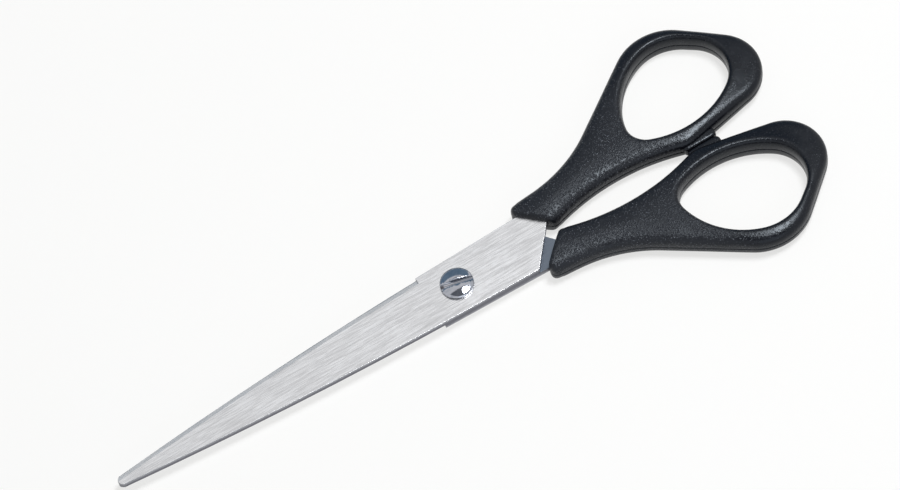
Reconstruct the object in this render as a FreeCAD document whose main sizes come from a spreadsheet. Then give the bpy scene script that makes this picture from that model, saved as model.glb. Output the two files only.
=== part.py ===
import FreeCAD, Part
import math
import os

import Sketcher

# Fabric shears, 210 mm long: two steel blades with moulded handles, turning on one slotted screw.
# The pivot axis is Z and z = 0 is the shear plane, where the two blades' inner faces meet.
# +X runs from the pivot towards the finger loops, so the tips lie at -X, and +Y is the upper handle's side.
# The lower blade and the lower handle are the upper ones turned half a turn about the X axis.

SIZES = {
    # blade: a tapered stamping, its cutting edge on +Y and its spine on -Y
    "tip_reach": 105.0,
    "tip_radius": 1.76,
    "tip_offset": 0.26,
    "tip_corner_angle": 25.0,
    "blade_thickness": 1.8,
    "blade_gap": 0.04,
    "edge_curve_radius": 1213.0,
    "edge_end": 8.5,
    "edge_width": 7.5,
    "ricasso_width": 7.95,
    "shoulder_width": 8.8,
    "spine_curve_radius": 1280.0,
    "spine_width": 8.6,
    "spine_end": 20.7,
    "bevel_width": 1.0,
    "bevel_land": 0.3,
    # hollow grinding of the inner face, from near the tip to the pad round the pivot
    "hollow_depth": 0.12,
    "hollow_margin": 1.6,
    "hollow_tip_margin": 9.0,
    "hollow_end": 12.0,
    # tang, the tail of the blade inside the handle
    "tang_neck_x": 26.5,
    "tang_end_x": 55.0,
    "tang_end_y": 13.6,
    "tang_end_width": 5.6,
    "tang_root_x": 31.5,
    "tang_root_y": 4.9,
    "tang_clearance": 0.02,
    # handle shank: a slanted front face, a hollow outer side and a hollow inner side
    "handle_thickness": 8.4,
    "face_angle": 45.0,
    "face_inner_x": 31.5,
    "face_inner_y": 0.9,
    "face_outer_y": 12.0,
    "flare_angle": 4.5,
    "bolster_length": 10.2,
    "shank_hollow_radius": 41.5,
    "inner_curve_radius": 63.0,
    "waist_x": 74.0,
    "waist_y": 0.6,
    "waist_radius": 8.0,
    # finger loop, outside: a crown and a heel joined by straight runs
    "loop_reach": 105.0,
    "heel_radius": 11.6,
    "heel_y": 16.5,
    "crown_x": 80.6,
    "crown_height": 37.9,
    "crown_radius": 15.5,
    # finger hole: an egg of five arcs and one straight run
    "hole_reach": 96.4,
    "hole_rear_radius": 10.5,
    "hole_rear_y": 20.0,
    "hole_crown_x": 81.7,
    "hole_height": 32.95,
    "hole_crown_radius": 13.5,
    "hole_front_x": 62.6,
    "hole_front_y": 14.0,
    "hole_front_radius": 6.0,
    "hole_side_radius": 22.5,
    "hole_belly_radius": 26.0,
    # rounding of the handle
    "edge_rounding": 2.8,
    "hole_rounding": 1.5,
    "face_rounding": 1.0,
    # stop lug that meets the other handle when the shears are shut
    "lug_front": 72.3,
    "lug_back": 82.4,
    "lug_thickness": 5.2,
    "lug_root": 3.0,
    "lug_clearance": 0.05,
    # pivot screw
    "journal_radius": 2.5,
    "pivot_clearance": 0.03,
    "thread_clearance": 0.01,
    "head_radius": 4.62,
    "head_rim": 0.7,
    "dome_rise": 0.8,
    "head_seat": 0.04,
    "slot_width": 1.4,
    "slot_depth": 0.9,
    "slot_angle": -14.0,
    "screw_recess": 0.05,
    # spring washer and nut under the lower blade
    "washer_thickness": 0.4,
    "washer_cone": 0.2,
    "washer_radius": 4.6,
    "washer_play": 0.15,
    "nut_flats": 8.0,
    "nut_height": 1.4,
    "nut_corner_radius": 4.45,
    "seat_clearance": 0.01,
}

HALF_TURN_X = FreeCAD.Rotation(FreeCAD.Vector(1, 0, 0), 180)

# How near two points count as the same one (mm), and the least volume a cut may remove (mm3).
NEAR = 1e-3
LEAST_CUT = 1e-6


def make_sheet(doc):
    """The driving dimensions, one row each: the name in column A and the number in column B."""
    sheet = doc.addObject("Spreadsheet::Sheet", "Sizes")
    for row, (name, number) in enumerate(SIZES.items(), start=1):
        sheet.set(f"A{row}", name)
        sheet.set(f"B{row}", str(number))
        sheet.setAlias(f"B{row}", name)
    doc.recompute()


def value(expression):
    """The number that an expression of the sheet's names gives now."""
    result = FreeCAD.ActiveDocument.Sizes.evalExpression(expression)
    return float(getattr(result, "Value", result))


def sized(expression):
    """The same expression as another object writes it, with the sheet's name before each size."""
    words = []
    for word in expression.split():
        bare = word.strip("()")
        words.append(word.replace(bare, "Sizes." + bare) if bare in SIZES else word)
    return " ".join(words)


def bind(thing, prop, expression):
    """Let a property follow an expression of the sheet's names."""
    thing.setExpression(prop, sized(expression))


# ---------------------------------------------------------------- bodies and sketches

def new_body(doc, name, turned):
    """An empty body, turned half a turn about X if it belongs to the lower half of the shears."""
    body = doc.addObject("PartDesign::Body", name)
    body.Label = name
    if turned:
        body.Placement = FreeCAD.Placement(FreeCAD.Vector(0, 0, 0), HALF_TURN_X)
    return body


def new_sketch(body, name, plane="XY_Plane", height="0"):
    """A sketch on one of the body's own origin planes, raised by the given height."""
    sketch = body.newObject("Sketcher::SketchObject", body.Name + "_" + name)
    support = [part for part in body.Origin.OriginFeatures if part.Role == plane][0]
    sketch.AttachmentSupport = [(support, "")]
    sketch.MapMode = "FlatFace"
    bind(sketch, "AttachmentOffset.Base.z", height)
    return sketch


def dimension(sketch, kind, name, expression, *references):
    """Add one dimension, name it and bind it to the sheet."""
    index = sketch.addConstraint(Sketcher.Constraint(kind, *references, value(expression)))
    sketch.renameConstraint(index, name)
    bind(sketch, "Constraints." + name, expression)


def place(sketch, name, piece, end, x, y):
    """Dimension a point from the sketch's origin, along X and along Y."""
    dimension(sketch, "DistanceX", name + "_x", x, -1, 1, piece, end)
    dimension(sketch, "DistanceY", name + "_y", y, -1, 1, piece, end)


def point(x, y):
    """A point, or a direction, in the plane of the shears."""
    return FreeCAD.Vector(x, y, 0)


def add_line(sketch, start, end):
    """A straight piece, with the numbers of its first and last ends."""
    return sketch.addGeometry(Part.LineSegment(start, end), False), 1, 2


def add_arc(sketch, centre, start, end, clockwise):
    """A round piece from start to end, with the numbers of its first and last ends."""
    circle = Part.Circle(centre, FreeCAD.Vector(0, 0, 1), (start - centre).Length)
    first = math.atan2(start.y - centre.y, start.x - centre.x)
    last = math.atan2(end.y - centre.y, end.x - centre.x)
    if clockwise:
        return sketch.addGeometry(Part.ArcOfCircle(circle, last, first), False), 2, 1
    return sketch.addGeometry(Part.ArcOfCircle(circle, first, last), False), 1, 2


def join(sketch, pieces, smooth):
    """Close a chain of pieces: each joint is a tangent one where smooth says so, or a plain corner."""
    for number, (piece, _, last) in enumerate(pieces):
        following, first, _ = pieces[(number + 1) % len(pieces)]
        kind = "Tangent" if smooth[number] else "Coincident"
        sketch.addConstraint(Sketcher.Constraint(kind, piece, last, following, first))


def arc_centre(start, end, radius, clockwise):
    """The centre of the shorter arc of that radius between two points."""
    chord = end - start
    middle = (start + end) * 0.5
    rise = math.sqrt(radius ** 2 - (chord.Length / 2) ** 2)
    side = point(chord.y, -chord.x) if clockwise else point(-chord.y, chord.x)
    return middle + side.normalize() * rise


def tangent_line(first, first_radius, second, second_radius):
    """Ends of the line that leaves one circle and reaches the next, both lying on the line's right.

    A circle on the line's left has a negative radius, and a point has none.
    """
    way = second - first
    lean = math.acos((first_radius - second_radius) / way.Length)
    angle = math.atan2(way.y, way.x) + lean
    normal = point(math.cos(angle), math.sin(angle))
    return first + normal * first_radius, second + normal * second_radius


def wrapping_arc(first, first_radius, second, second_radius, radius):
    """Centre and ends of the clockwise arc that wraps two smaller circles and touches both."""
    to_first = radius - first_radius
    to_second = radius - second_radius
    way = second - first
    along = (to_first ** 2 - to_second ** 2 + way.Length ** 2) / (2 * way.Length)
    aside = math.sqrt(to_first ** 2 - along ** 2)
    unit = FreeCAD.Vector(way).normalize()
    centre = first + unit * along + point(unit.y, -unit.x) * aside
    start = centre + (first - centre).normalize() * radius
    end = centre + (second - centre).normalize() * radius
    return centre, start, end


def corner_outline(sketch, corners, curves=None):
    """A closed outline through dimensioned corners.

    corners lists (name, x, y); curves gives the radius and the turn of each side that is round, under
    the name of the corner where that side starts.
    """
    curves = curves or {}
    points = [point(value(x), value(y)) for _, x, y in corners]
    pieces = []
    for number, (name, _, _) in enumerate(corners):
        start = points[number]
        end = points[(number + 1) % len(points)]
        if name in curves:
            radius, clockwise = curves[name]
            centre = arc_centre(start, end, value(radius), clockwise)
            pieces.append(add_arc(sketch, centre, start, end, clockwise))
        else:
            pieces.append(add_line(sketch, start, end))
    join(sketch, pieces, [False] * len(pieces))
    for (piece, first, _), (name, x, y) in zip(pieces, corners):
        place(sketch, name, piece, first, x, y)
        if name in curves:
            dimension(sketch, "Radius", name + "_radius", curves[name][0], piece)


def circle_outline(sketch, name, radius):
    """A circle about the sketch's origin."""
    circle = Part.Circle(point(0, 0), FreeCAD.Vector(0, 0, 1), value(radius))
    piece = sketch.addGeometry(circle, False)
    sketch.addConstraint(Sketcher.Constraint("Coincident", piece, 3, -1, 1))
    dimension(sketch, "Radius", name, radius, piece)


def add_feature(body, kind, name, profile, **bound):
    """A feature made from a sketch, its sizes bound to the sheet; a cut has to remove material."""
    before = body.Shape.Volume if body.Tip else 0.0
    feature = body.newObject("PartDesign::" + kind, body.Name + "_" + name)
    feature.Profile = profile
    for prop, expression in bound.items():
        bind(feature, prop, expression)
    body.Tip = feature
    return feature, before


def pad(body, name, sketch, length):
    """Raise material from the sketch's plane."""
    add_feature(body, "Pad", name, sketch, Length=length)
    body.Document.recompute()


def pocket(body, name, sketch, length):
    """Cut upwards from the sketch's plane, and make sure that something was cut."""
    feature, before = add_feature(body, "Pocket", name, sketch, Length=length)
    feature.Reversed = True
    body.Document.recompute()
    if not body.Shape.Volume < before - LEAST_CUT:
        raise RuntimeError(feature.Name + " cuts nothing")


def dress(body, kind, name, chosen, **bound):
    """A fillet or chamfer on the edges of the body that the chosen test accepts."""
    base = body.Tip
    edges = [f"Edge{number}" for number, edge in enumerate(base.Shape.Edges, start=1) if chosen(edge)]
    if not edges:
        raise RuntimeError(f"{body.Name}_{name} finds no edge")
    feature = body.newObject("PartDesign::" + kind, body.Name + "_" + name)
    feature.Base = (base, edges)
    for prop, expression in bound.items():
        bind(feature, prop, expression)
    body.Tip = feature
    body.Document.recompute()
    return feature


def middle_of(edge):
    """The point half-way along an edge."""
    return edge.valueAt((edge.FirstParameter + edge.LastParameter) / 2)


# ---------------------------------------------------------------- blades

INNER_FACE = "blade_gap / 2"
OUTER_FACE = "blade_gap / 2 + blade_thickness"


def draw_blade(sketch):
    """Blade outline, clockwise from the spine side of the tip; the edge ends at a short square heel."""
    tip_end = "tip_radius - tip_reach - tip_radius * sin( tip_corner_angle )"
    corners = [
        ("tip_spine", tip_end, "-( tip_offset ) - tip_radius * cos( tip_corner_angle )"),
        ("tip", "-( tip_reach )", "-( tip_offset )"),
        ("tip_edge", tip_end, "tip_radius * cos( tip_corner_angle ) - tip_offset"),
        ("edge_heel", "-( edge_end )", "edge_width"),
        ("heel_root", "-( edge_end )", "edge_width / 2"),
        ("tang_root", "tang_root_x", "tang_root_y"),
        ("spine_corner", "spine_end", "-( spine_width )"),
    ]
    curves = {
        "tip_spine": ("tip_radius", True),
        "tip": ("tip_radius", True),
        "tip_edge": ("edge_curve_radius", True),
        "spine_corner": ("spine_curve_radius", True),
    }
    corner_outline(sketch, corners, curves)


def draw_ricasso(sketch):
    """The unground rest of the plate: the ricasso beside the pivot, the neck and the tang."""
    corners = [
        ("ricasso", "-( edge_end )", "ricasso_width"),
        ("neck", "tang_neck_x", "shoulder_width"),
        ("tang_outer", "tang_end_x", "tang_end_y + tang_end_width / 2"),
        ("tang_inner", "tang_end_x", "tang_end_y - tang_end_width / 2"),
        ("tang_root", "tang_root_x", "tang_root_y"),
        ("heel_root", "-( edge_end )", "edge_width / 2"),
    ]
    corner_outline(sketch, corners)


def hollow_grind(body):
    """A shallow hollow in the inner face, which leaves a narrow land along the edge and the spine."""
    sketch = new_sketch(body, "hollow_outline", height=INNER_FACE)
    corners = [
        ("tip_spine", "-( tip_reach - hollow_tip_margin )", "-( tip_radius / 2 )"),
        ("tip_edge", "-( tip_reach - hollow_tip_margin )", "tip_radius / 2"),
        ("pad_edge", "-( hollow_end )", "edge_width - hollow_margin"),
        ("pad_spine", "-( hollow_end )", "-( spine_width - hollow_margin )"),
    ]
    corner_outline(sketch, corners)
    pocket(body, "hollow", sketch, "hollow_depth")


def grind_bevel(body):
    """The cutting bevel: it falls from the outer face nearly to the inner face along the curved edge."""
    outer = value(OUTER_FACE)

    def is_cutting_edge(edge):
        middle = middle_of(edge)
        reach = value("tip_reach")
        on_outer_face = abs(middle.z - outer) < NEAR
        return on_outer_face and -reach < middle.x < 0 < middle.y and edge.Length > reach / 2

    feature = dress(body, "Chamfer", "bevel", is_cutting_edge, Size="bevel_width",
                    Size2="blade_thickness - bevel_land")
    feature.ChamferType = "Two distances"
    body.Document.recompute()


def build_blade(doc, name, turned, bore):
    """A whole blade, with a bore of the given radius for the pivot screw."""
    body = new_body(doc, name, turned)
    outline = new_sketch(body, "outline", height=INNER_FACE)
    draw_blade(outline)
    pad(body, "plate", outline, "blade_thickness")
    grind_bevel(body)
    ricasso = new_sketch(body, "ricasso_outline", height=INNER_FACE)
    draw_ricasso(ricasso)
    pad(body, "ricasso", ricasso, "blade_thickness")
    hollow_grind(body)
    hole = new_sketch(body, "bore_outline", height=INNER_FACE)
    circle_outline(hole, "bore_radius", bore)
    pocket(body, "bore", hole, "blade_thickness")
    return body


# ---------------------------------------------------------------- handles

def draw_handle(sketch):
    """Handle outline, clockwise from the outer corner of the front face."""
    face = math.radians(value("face_angle"))
    flare = math.radians(value("flare_angle"))
    inner_corner = point(value("face_inner_x"), value("face_inner_y"))
    rise = value("face_outer_y - face_inner_y")
    outer_corner = inner_corner + point(-rise / math.tan(face), rise)
    shank_start = outer_corner + point(math.cos(flare), math.sin(flare)) * value("bolster_length")
    hollow = shank_start + point(-math.sin(flare), math.cos(flare)) * value("shank_hollow_radius")
    crown = point(value("crown_x"), value("crown_height - crown_radius"))
    heel = point(value("loop_reach - heel_radius"), value("heel_y"))
    waist = point(value("waist_x"), value("waist_y"))
    crown_radius = value("crown_radius")
    heel_radius = value("heel_radius")
    hollow_end, crown_start = tangent_line(hollow, -value("shank_hollow_radius"), crown, crown_radius)
    crown_end, heel_start = tangent_line(crown, crown_radius, heel, heel_radius)
    heel_end, _ = tangent_line(heel, heel_radius, waist, 0.0)
    inner_curve = arc_centre(waist, inner_corner, value("inner_curve_radius"), False)
    pieces = [
        add_line(sketch, outer_corner, shank_start),
        add_arc(sketch, hollow, shank_start, hollow_end, False),
        add_line(sketch, hollow_end, crown_start),
        add_arc(sketch, crown, crown_start, crown_end, True),
        add_line(sketch, crown_end, heel_start),
        add_arc(sketch, heel, heel_start, heel_end, True),
        add_line(sketch, heel_end, waist),
        add_arc(sketch, inner_curve, waist, inner_corner, False),
        add_line(sketch, inner_corner, outer_corner),
    ]
    join(sketch, pieces, [True] * 6 + [False] * 3)
    side, shank, _, crown_arc, _, heel_arc, _, inner_arc, front = [piece for piece, _, _ in pieces]
    place(sketch, "inner_corner", front, 1, "face_inner_x", "face_inner_y")
    dimension(sketch, "DistanceY", "outer_corner_y", "face_outer_y", -1, 1, side, 1)
    dimension(sketch, "Angle", "front_slant", "180 - face_angle", -1, front)
    dimension(sketch, "Angle", "side_flare", "flare_angle", -1, side)
    dimension(sketch, "Distance", "side_length", "bolster_length", side)
    dimension(sketch, "Radius", "shank_radius", "shank_hollow_radius", shank)
    place(sketch, "crown_centre", crown_arc, 3, "crown_x", "crown_height - crown_radius")
    dimension(sketch, "Radius", "crown_arc_radius", "crown_radius", crown_arc)
    place(sketch, "heel_centre", heel_arc, 3, "loop_reach - heel_radius", "heel_y")
    dimension(sketch, "Radius", "heel_arc_radius", "heel_radius", heel_arc)
    place(sketch, "waist", inner_arc, 1, "waist_x", "waist_y")
    dimension(sketch, "Radius", "inner_radius", "inner_curve_radius", inner_arc)


def draw_hole(sketch):
    """Finger hole outline, clockwise: crown, rear, belly, front and side, all tangent."""
    crown = point(value("hole_crown_x"), value("hole_height - hole_crown_radius"))
    rear = point(value("hole_reach - hole_rear_radius"), value("hole_rear_y"))
    front = point(value("hole_front_x + hole_front_radius"), value("hole_front_y"))
    crown_radius = value("hole_crown_radius")
    rear_radius = value("hole_rear_radius")
    front_radius = value("hole_front_radius")
    belly_radius = value("hole_belly_radius")
    side_radius = value("hole_side_radius")
    belly, rear_end, front_start = wrapping_arc(rear, rear_radius, front, front_radius, belly_radius)
    side, front_end, crown_start = wrapping_arc(front, front_radius, crown, crown_radius, side_radius)
    crown_end, rear_start = tangent_line(crown, crown_radius, rear, rear_radius)
    pieces = [
        add_arc(sketch, crown, crown_start, crown_end, True),
        add_line(sketch, crown_end, rear_start),
        add_arc(sketch, rear, rear_start, rear_end, True),
        add_arc(sketch, belly, rear_end, front_start, True),
        add_arc(sketch, front, front_start, front_end, True),
        add_arc(sketch, side, front_end, crown_start, True),
    ]
    join(sketch, pieces, [True] * 6)
    crown_arc, _, rear_arc, belly_arc, front_arc, side_arc = [piece for piece, _, _ in pieces]
    place(sketch, "crown_centre", crown_arc, 3, "hole_crown_x", "hole_height - hole_crown_radius")
    dimension(sketch, "Radius", "crown_arc_radius", "hole_crown_radius", crown_arc)
    place(sketch, "rear_centre", rear_arc, 3, "hole_reach - hole_rear_radius", "hole_rear_y")
    dimension(sketch, "Radius", "rear_arc_radius", "hole_rear_radius", rear_arc)
    place(sketch, "front_centre", front_arc, 3, "hole_front_x + hole_front_radius", "hole_front_y")
    dimension(sketch, "Radius", "front_arc_radius", "hole_front_radius", front_arc)
    dimension(sketch, "Radius", "belly_arc_radius", "hole_belly_radius", belly_arc)
    dimension(sketch, "Radius", "side_arc_radius", "hole_side_radius", side_arc)


def round_handle(body):
    """Round the waist corner, then the long edges of both faces, then the edge of the front face."""
    half = value("handle_thickness / 2")
    face = math.radians(value("face_angle"))
    front_normal = FreeCAD.Vector(-math.sin(face), -math.cos(face), 0)
    inner_corner = FreeCAD.Vector(value("face_inner_x"), value("face_inner_y"), 0)
    waist = point(value("waist_x"), value("waist_y"))

    def is_waist(edge):
        middle = middle_of(edge)
        return abs(middle.z) < NEAR and (middle - waist).Length < NEAR

    def on_front(edge):
        ends = [vertex.Point for vertex in edge.Vertexes] + [middle_of(edge)]
        return all(abs((end - inner_corner).dot(front_normal)) < NEAR for end in ends)

    def is_long_edge(edge):
        return abs(abs(middle_of(edge).z) - half) < NEAR and not on_front(edge)

    dress(body, "Fillet", "waist_round", is_waist, Radius="waist_radius")
    dress(body, "Fillet", "edge_round", is_long_edge, Radius="edge_rounding")
    dress(body, "Fillet", "face_round", on_front, Radius="face_rounding")


def is_on_hole(edge):
    """True where an edge runs round one mouth of the finger hole."""
    middle = middle_of(edge)
    crown = point(value("hole_crown_x"), value("hole_height - hole_crown_radius"))
    rear = point(value("hole_reach - hole_rear_radius"), value("hole_rear_y"))
    front = point(value("hole_front_x + hole_front_radius"), value("hole_front_y"))
    box = edge.BoundBox
    in_x = box.XMin > value("hole_front_x") - NEAR and box.XMax < value("hole_reach") + NEAR
    in_y = box.YMax < value("hole_height") + NEAR
    near = min((point(middle.x, middle.y) - centre).Length for centre in (crown, rear, front))
    return in_x and in_y and near < value("hole_side_radius")


def round_hole(body):
    """Round both mouths of the finger hole."""
    half = value("handle_thickness / 2")

    def is_mouth(edge):
        return abs(abs(middle_of(edge).z) - half) < NEAR and is_on_hole(edge)

    dress(body, "Fillet", "hole_round", is_mouth, Radius="hole_rounding")


def add_lug(body):
    """The stop lug: a block on the inner side that ends just short of the plane between the handles."""
    sketch = new_sketch(body, "lug_outline", height="-( lug_thickness / 2 )")
    corners = [
        ("front_low", "lug_front", "lug_clearance"),
        ("front_high", "lug_front", "lug_root"),
        ("back_high", "lug_back", "lug_root"),
        ("back_low", "lug_back", "lug_clearance"),
    ]
    corner_outline(sketch, corners)
    pad(body, "lug", sketch, "lug_thickness")


def cut_tang_slot(body):
    """The slot that the tang fills, open through the front face of the handle."""
    sketch = new_sketch(body, "tang_slot_outline", height=INNER_FACE + " - tang_clearance")
    corners = [
        ("mouth_outer", "spine_end", "shoulder_width + tang_clearance"),
        ("neck", "tang_neck_x", "shoulder_width + tang_clearance"),
        ("end_outer", "tang_end_x + tang_clearance", "tang_end_y + tang_end_width / 2 + tang_clearance"),
        ("end_inner", "tang_end_x + tang_clearance", "tang_end_y - tang_end_width / 2 - tang_clearance"),
        ("root", "tang_root_x + tang_clearance", "tang_root_y - tang_clearance"),
        ("mouth_inner", "( tang_root_x + spine_end ) / 2 + tang_clearance",
         "( tang_root_y - spine_width ) / 2 - tang_clearance"),
    ]
    corner_outline(sketch, corners)
    pocket(body, "tang_slot", sketch, "blade_thickness + 2 * tang_clearance")


def build_handle(doc, name, turned):
    """A whole handle: outline, rounding, finger hole, stop lug and the slot for the tang."""
    body = new_body(doc, name, turned)
    outline = new_sketch(body, "outline", height="-( handle_thickness / 2 )")
    draw_handle(outline)
    pad(body, "block", outline, "handle_thickness")
    round_handle(body)
    hole = new_sketch(body, "hole_outline", height="-( handle_thickness / 2 )")
    draw_hole(hole)
    pocket(body, "finger_hole", hole, "handle_thickness")
    round_hole(body)
    add_lug(body)
    cut_tang_slot(body)


# ---------------------------------------------------------------- pivot

HEAD_FLOOR = "blade_gap / 2 + blade_thickness + head_seat"
WASHER_TOP = "-( blade_gap / 2 + blade_thickness + seat_clearance )"
NUT_TOP = WASHER_TOP + " - washer_thickness - washer_cone - seat_clearance"
NUT_FLOOR = NUT_TOP + " - nut_height"


def spin(body, name, sketch):
    """Turn a half section drawn on the XZ plane a full turn about Z."""
    feature, _ = add_feature(body, "Revolution", name, sketch)
    feature.ReferenceAxis = (sketch, ["V_Axis"])
    feature.Angle = 360
    body.Document.recompute()


def build_screw(doc):
    """Pivot screw: a low domed head with a driver slot over a plain journal."""
    body = new_body(doc, "pivot_screw", False)
    sketch = new_sketch(body, "half_section", plane="XZ_Plane")
    dome_top = HEAD_FLOOR + " + head_rim + dome_rise"
    dome_radius = "( head_radius * head_radius + dome_rise * dome_rise ) / ( 2 * dome_rise )"
    corners = [
        ("end_middle", "0", NUT_FLOOR + " + screw_recess"),
        ("dome_middle", "0", dome_top),
        ("rim_top", "head_radius", HEAD_FLOOR + " + head_rim"),
        ("rim_floor", "head_radius", HEAD_FLOOR),
        ("journal_top", "journal_radius", HEAD_FLOOR),
        ("journal_end", "journal_radius", NUT_FLOOR + " + screw_recess"),
    ]
    corner_outline(sketch, corners, {"dome_middle": (dome_radius, True)})
    spin(body, "turned", sketch)
    slot = new_sketch(body, "slot_outline", height=dome_top + " - slot_depth")
    bind(slot, "AttachmentOffset.Rotation.Angle", "slot_angle")
    slot_corners = [
        ("left_low", "-( head_radius )", "-( slot_width / 2 )"),
        ("left_high", "-( head_radius )", "slot_width / 2"),
        ("right_high", "head_radius", "slot_width / 2"),
        ("right_low", "head_radius", "-( slot_width / 2 )"),
    ]
    corner_outline(slot, slot_corners)
    pocket(body, "slot", slot, "slot_depth")


def build_washer(doc):
    """Conical spring washer: its rim bears on the lower blade and its bore on the nut."""
    body = new_body(doc, "spring_washer", False)
    sketch = new_sketch(body, "half_section", plane="XZ_Plane")
    corners = [
        ("rim_top", "washer_radius", WASHER_TOP),
        ("rim_floor", "washer_radius", WASHER_TOP + " - washer_thickness"),
        ("bore_floor", "journal_radius + washer_play", WASHER_TOP + " - washer_thickness - washer_cone"),
        ("bore_top", "journal_radius + washer_play", WASHER_TOP + " - washer_cone"),
    ]
    corner_outline(sketch, corners)
    spin(body, "turned", sketch)


def build_nut(doc):
    """Low hexagonal nut with turned corners, on the end of the screw."""
    prism = doc.addObject("Part::Prism", "nut_hexagon")
    prism.Polygon = 6
    bind(prism, "Circumradius", "nut_flats / sqrt( 3 )")
    bind(prism, "Height", "nut_height")
    turned = doc.addObject("Part::Cylinder", "nut_turned_corners")
    bind(turned, "Radius", "nut_corner_radius")
    bind(turned, "Height", "nut_height")
    blank = doc.addObject("Part::Common", "nut_blank")
    blank.Base = prism
    blank.Tool = turned
    bore = doc.addObject("Part::Cylinder", "nut_bore")
    bind(bore, "Radius", "journal_radius + thread_clearance")
    bind(bore, "Height", "nut_height")
    nut = doc.addObject("Part::Cut", "pivot_nut")
    nut.Base = blank
    nut.Tool = bore
    nut.Label = "pivot_nut"
    bind(nut, "Placement.Base.z", NUT_FLOOR)
    doc.recompute()


# ---------------------------------------------------------------- the assembly

NODES = [
    "upper_blade",
    "lower_blade",
    "upper_handle",
    "lower_handle",
    "pivot_screw",
    "spring_washer",
    "pivot_nut",
]


def check(doc, pieces):
    """Stop before anything is written if a feature failed or a piece is not one sound solid."""
    failed = [thing.Name for thing in doc.Objects if {"Invalid", "Error"} & set(thing.State)]
    if failed:
        raise RuntimeError("failed objects: " + ", ".join(failed))
    for piece in pieces:
        shape = piece.Shape
        if shape.isNull() or not shape.isValid() or len(shape.Solids) != 1:
            raise RuntimeError(piece.Label + " is not one valid solid")


def main():
    """Build every piece, check them all and write one STEP file for each."""
    doc = FreeCAD.newDocument("fabric_shears")
    make_sheet(doc)
    build_blade(doc, "upper_blade", False, "journal_radius + pivot_clearance")
    build_blade(doc, "lower_blade", True, "journal_radius + thread_clearance")
    build_handle(doc, "upper_handle", False)
    build_handle(doc, "lower_handle", True)
    build_screw(doc)
    build_washer(doc)
    build_nut(doc)
    doc.recompute()
    pieces = [doc.getObjectsByLabel(name)[0] for name in NODES]
    check(doc, pieces)
    os.makedirs("parts", exist_ok=True)
    for piece in pieces:
        piece.Shape.exportStep(f"parts/{piece.Label}.step")
        print(piece.Label, round(piece.Shape.Volume, 1), "mm3")


main()
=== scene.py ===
"""Fabric shears dressed for display: moulded grips, brushed blades and a polished screw on a pale table.

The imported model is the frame. Its pivot axis is Z, +X runs to the finger loops, +Y is the upper grip's side
and z = 0 is the plane where the blades meet. Everything here is in metres in that frame.
"""
import logging
import math
from dataclasses import dataclass, field
from enum import Enum

import bmesh
import bpy
import numpy as np
from mathutils import Matrix, Vector


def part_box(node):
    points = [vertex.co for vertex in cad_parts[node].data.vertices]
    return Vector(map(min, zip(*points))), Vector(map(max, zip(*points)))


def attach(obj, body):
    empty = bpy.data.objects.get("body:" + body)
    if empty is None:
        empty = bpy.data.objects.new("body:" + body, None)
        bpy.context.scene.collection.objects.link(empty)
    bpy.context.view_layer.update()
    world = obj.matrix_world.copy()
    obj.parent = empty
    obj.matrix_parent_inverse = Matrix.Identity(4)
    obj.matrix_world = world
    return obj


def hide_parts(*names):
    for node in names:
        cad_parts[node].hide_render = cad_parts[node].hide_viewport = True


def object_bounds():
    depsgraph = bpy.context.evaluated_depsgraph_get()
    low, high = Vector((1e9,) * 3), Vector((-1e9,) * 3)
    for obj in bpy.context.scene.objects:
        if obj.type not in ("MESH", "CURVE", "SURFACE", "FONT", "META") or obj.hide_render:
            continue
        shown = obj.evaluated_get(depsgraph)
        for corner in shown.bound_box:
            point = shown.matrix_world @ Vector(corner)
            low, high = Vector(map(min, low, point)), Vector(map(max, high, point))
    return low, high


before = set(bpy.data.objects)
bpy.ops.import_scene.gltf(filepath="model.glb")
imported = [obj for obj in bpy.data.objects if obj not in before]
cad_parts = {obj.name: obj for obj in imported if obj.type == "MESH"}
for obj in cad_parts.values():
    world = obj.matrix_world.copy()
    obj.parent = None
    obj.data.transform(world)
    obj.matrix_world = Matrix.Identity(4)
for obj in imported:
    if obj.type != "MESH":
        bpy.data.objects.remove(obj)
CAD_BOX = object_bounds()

log = logging.getLogger("shears")
MM = 0.001
# Millimetres: a difference that is only rounding, and how near points are welded before and after the
# edges are rounded.
LEAST_STEP = 0.001
WELD_DISTANCE = 0.002
SLIVER_WIDTH = 0.003
# Keeps a direction finite where its length is nought.
NO_LENGTH = 1e-9


class Side(Enum):
    """The two halves of the shears; the lower one is the upper one turned half a turn about X."""

    UPPER = "upper"
    LOWER = "lower"

    @property
    def body(self) -> str:
        """The moving body that this half rides on."""
        return f"{self.value}_half"

    def turn(self, points: np.ndarray) -> np.ndarray:
        """Points of the upper half, placed for this half."""
        return points if self is Side.UPPER else points * np.array([1.0, -1.0, -1.0])


class Slot(Enum):
    """The record's material slots."""

    BLADE = "blade_steel"
    GRIP = "handle_plastic"
    SCREW = "screw_steel"


# ---------------------------------------------------------------- plane curves

@dataclass(frozen=True)
class Line:
    """A straight stretch of an outline, from start to end."""

    start: np.ndarray
    end: np.ndarray

    @property
    def length(self) -> float:
        """How long the stretch is."""
        return float(np.linalg.norm(self.end - self.start))

    def along(self, share: np.ndarray) -> np.ndarray:
        """Points at the given shares of the stretch: the start plus that share of the way to the end."""
        return self.start + share[..., None] * (self.end - self.start)

    def distance(self, points: np.ndarray) -> np.ndarray:
        """Distance of each point from the stretch, measured square to it or to its nearer end.

        Args:
            points: plane points, in an array whose last axis holds x and y.

        Returns:
            One distance for each point.
        """
        way = self.end - self.start
        share = np.clip(((points - self.start) @ way) / (way @ way), 0.0, 1.0)
        return np.linalg.norm(points - self.along(share), axis=-1)


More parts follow.
